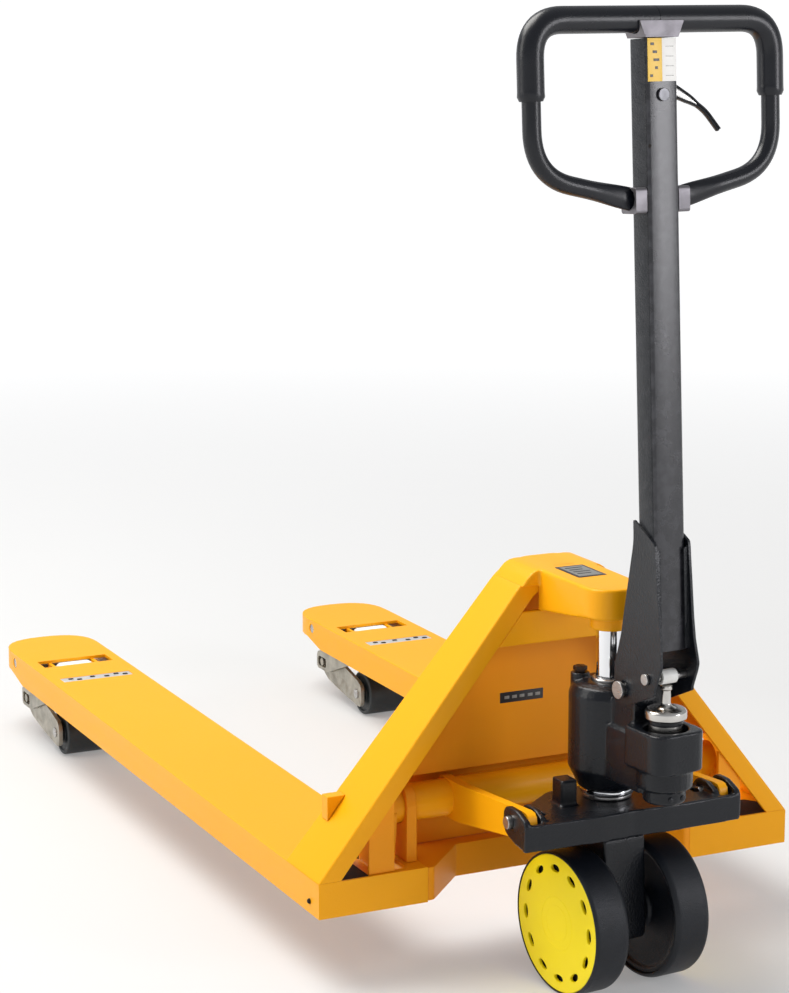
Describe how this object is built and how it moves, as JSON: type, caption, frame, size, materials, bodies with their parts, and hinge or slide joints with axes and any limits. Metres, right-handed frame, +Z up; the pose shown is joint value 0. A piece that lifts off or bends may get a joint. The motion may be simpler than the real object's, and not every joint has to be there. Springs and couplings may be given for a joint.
{
  "type": "hand pallet truck",
  "caption": "Hand pallet truck: two long forks on load rollers, an A-shaped frame over a hydraulic jack on steer wheels, and an upright tiller with a looped handle.",
  "frame": {"origin": "on the floor, under the middle of the overall length, midway between the forks", "axes": "+Z up, +Y towards the fork tips, +X to the right of someone holding the handle and facing the forks"},
  "size_m": [0.685, 1.5908, 1.201],
  "materials": {
    "frame_paint": "yellow enamel",
    "jack_paint": "black enamel",
    "tiller_paint": "black enamel",
    "chrome": "bright",
    "steel": "bare",
    "zinc": "zinc plated",
    "hub_yellow": "moulded",
    "tyre": "satin",
    "grip": "satin",
    "nylon": "moulded",
    "alloy": "satin"
  },
  "bodies": {
    "chassis": {"back_panel": "frame_paint", "yoke_plate": "frame_paint", "head_casting": "frame_paint", "bumper": "frame_paint", "ram": "chrome", "left_fork": "frame_paint", "right_fork": "frame_paint", "left_side_band": "frame_paint", "right_side_band": "frame_paint", "left_gusset": "frame_paint", "right_gusset": "frame_paint", "left_pallet_stop": "frame_paint", "right_pallet_stop": "frame_paint", "left_shaft_bearing": "frame_paint", "right_shaft_bearing": "frame_paint", "left_pivot_pin": "steel", "right_pivot_pin": "steel"},
    "base": {"yoke": "jack_paint", "lower_race": "steel", "left_yoke_pin": "steel", "right_yoke_pin": "steel"},
    "pump": {"upper_race": "steel", "pump_body": "jack_paint", "ram_gland": "steel", "filler_plug": "steel", "wheel_carrier": "jack_paint", "wheel_axle": "steel", "tiller_pin": "steel", "plunger_spring": "steel"},
    "plunger": {"plunger": "chrome"},
    "tiller": {"tiller_bracket": "tiller_paint", "tiller_tube": "tiller_paint", "handle_loop": "grip", "crown": "alloy", "lever_pin": "steel", "press_roller_pin": "steel", "left_grip": "grip", "right_grip": "grip", "left_handle_clamp": "alloy", "right_handle_clamp": "alloy"},
    "press_roller": {"press_roller": "nylon"},
    "release_lever": {"release_lever": "tiller_paint"},
    "control_rod": {"control_rod": "steel"},
    "left_wheel": {"left_tyre": "tyre", "left_hub": "hub_yellow"},
    "right_wheel": {"right_tyre": "tyre", "right_hub": "hub_yellow"},
    "lift_shaft": {"torsion_shaft": "frame_paint"},
    "left_rod": {"left_push_rod": "zinc"},
    "left_bracket": {"left_roller_bracket": "zinc", "left_roller_axle": "steel"},
    "left_load_roller": {"left_load_roller": "tyre"},
    "left_entry_roller": {"left_entry_roller": "nylon"},
    "right_rod": {"right_push_rod": "zinc"},
    "right_bracket": {"right_roller_bracket": "zinc", "right_roller_axle": "steel"},
    "right_load_roller": {"right_load_roller": "tyre"},
    "right_entry_roller": {"right_entry_roller": "nylon"}
  },
  "joints": [
    {"name": "lift", "type": "slide", "parent": "base", "child": "chassis", "axis": [0, 0, 1], "range_m": [-0.05, 0.054]},
    {"name": "steer", "type": "hinge", "parent": "base", "child": "pump", "pos_m": [0, -0.63858, 0.24], "axis": [0, 0, 1], "range_deg": [-109.4, 100.6]},
    {"name": "tiller_swing", "type": "hinge", "parent": "pump", "child": "tiller", "pos_m": [0.00537, -0.70837, 0.394], "axis": [0.9971, 0.0767, 0], "range_deg": [0, 42], "stiffness_Nm_per_rad": 40, "springref_deg": -5.73},
    {"name": "plunger_slide", "type": "slide", "parent": "pump", "child": "plunger", "axis": [0, 0, -1], "range_m": [0, 0.04], "deforming": ["plunger_spring"]},
    {"name": "press_roller_spin", "type": "hinge", "parent": "tiller", "child": "press_roller", "pos_m": [0.00921, -0.75822, 0.418], "axis": [0.9971, 0.0767, 0], "continuous": true},
    {"name": "lever_squeeze", "type": "hinge", "parent": "tiller", "child": "release_lever", "pos_m": [0.00546, -0.70956, 1.09921], "axis": [-0.0766, 0.995, -0.0638], "range_deg": [-14, 10], "stiffness_Nm_per_rad": 1.5},
    {"name": "control_rod_slide", "type": "slide", "parent": "tiller", "child": "control_rod", "axis": [-0.0049, 0.0636, 0.998], "range_m": [-0.0028, 0.002]},
    {"name": "left_wheel_spin", "type": "hinge", "parent": "pump", "child": "left_wheel", "pos_m": [-0.0576, -0.65906, 0.09], "axis": [0.9971, 0.0767, 0], "continuous": true},
    {"name": "right_wheel_spin", "type": "hinge", "parent": "pump", "child": "right_wheel", "pos_m": [0.06005, -0.65, 0.09], "axis": [0.9971, 0.0767, 0], "continuous": true},
    {"name": "shaft_turn", "type": "hinge", "parent": "chassis", "child": "lift_shaft", "pos_m": [0, -0.47358, 0.207], "axis": [1, 0, 0], "range_deg": [-15.17, 16.36]},
    {"name": "left_rod_swing", "type": "hinge", "parent": "lift_shaft", "child": "left_rod", "pos_m": [-0.238, -0.47358, 0.119], "axis": [1, 0, 0], "range_deg": [-16.61, 15.4]},
    {"name": "left_bracket_swing", "type": "hinge", "parent": "chassis", "child": "left_bracket", "pos_m": [-0.2675, 0.70642, 0.121], "axis": [1, 0, 0], "range_deg": [-21.21, 22.89]},
    {"name": "left_load_roller_spin", "type": "hinge", "parent": "left_bracket", "child": "left_load_roller", "pos_m": [-0.2675, 0.56642, 0.037], "axis": [1, 0, 0], "continuous": true},
    {"name": "left_entry_roller_spin", "type": "hinge", "parent": "chassis", "child": "left_entry_roller", "pos_m": [-0.2675, 0.62042, 0.11], "axis": [1, 0, 0], "continuous": true},
    {"name": "right_rod_swing", "type": "hinge", "parent": "lift_shaft", "child": "right_rod", "pos_m": [0.238, -0.47358, 0.119], "axis": [1, 0, 0], "range_deg": [-16.61, 15.4]},
    {"name": "right_bracket_swing", "type": "hinge", "parent": "chassis", "child": "right_bracket", "pos_m": [0.2675, 0.70642, 0.121], "axis": [1, 0, 0], "range_deg": [-21.21, 22.89]},
    {"name": "right_load_roller_spin", "type": "hinge", "parent": "right_bracket", "child": "right_load_roller", "pos_m": [0.2675, 0.56642, 0.037], "axis": [1, 0, 0], "continuous": true},
    {"name": "right_entry_roller_spin", "type": "hinge", "parent": "chassis", "child": "right_entry_roller", "pos_m": [0.2675, 0.62042, 0.11], "axis": [1, 0, 0], "continuous": true}
  ],
  "couplings": [
    {"joint": "plunger_slide", "follows": "tiller_swing", "m_per_rad": 0.054},
    {"joint": "control_rod_slide", "follows": "lever_squeeze", "m_per_rad": 0.011},
    {"joint": "shaft_turn", "follows": "lift", "rad_per_m": 5.19},
    {"joint": "left_rod_swing", "follows": "lift", "rad_per_m": -5.27},
    {"joint": "right_rod_swing", "follows": "lift", "rad_per_m": -5.27},
    {"joint": "left_bracket_swing", "follows": "lift", "rad_per_m": 7.3},
    {"joint": "right_bracket_swing", "follows": "lift", "rad_per_m": 7.3}
  ]
}
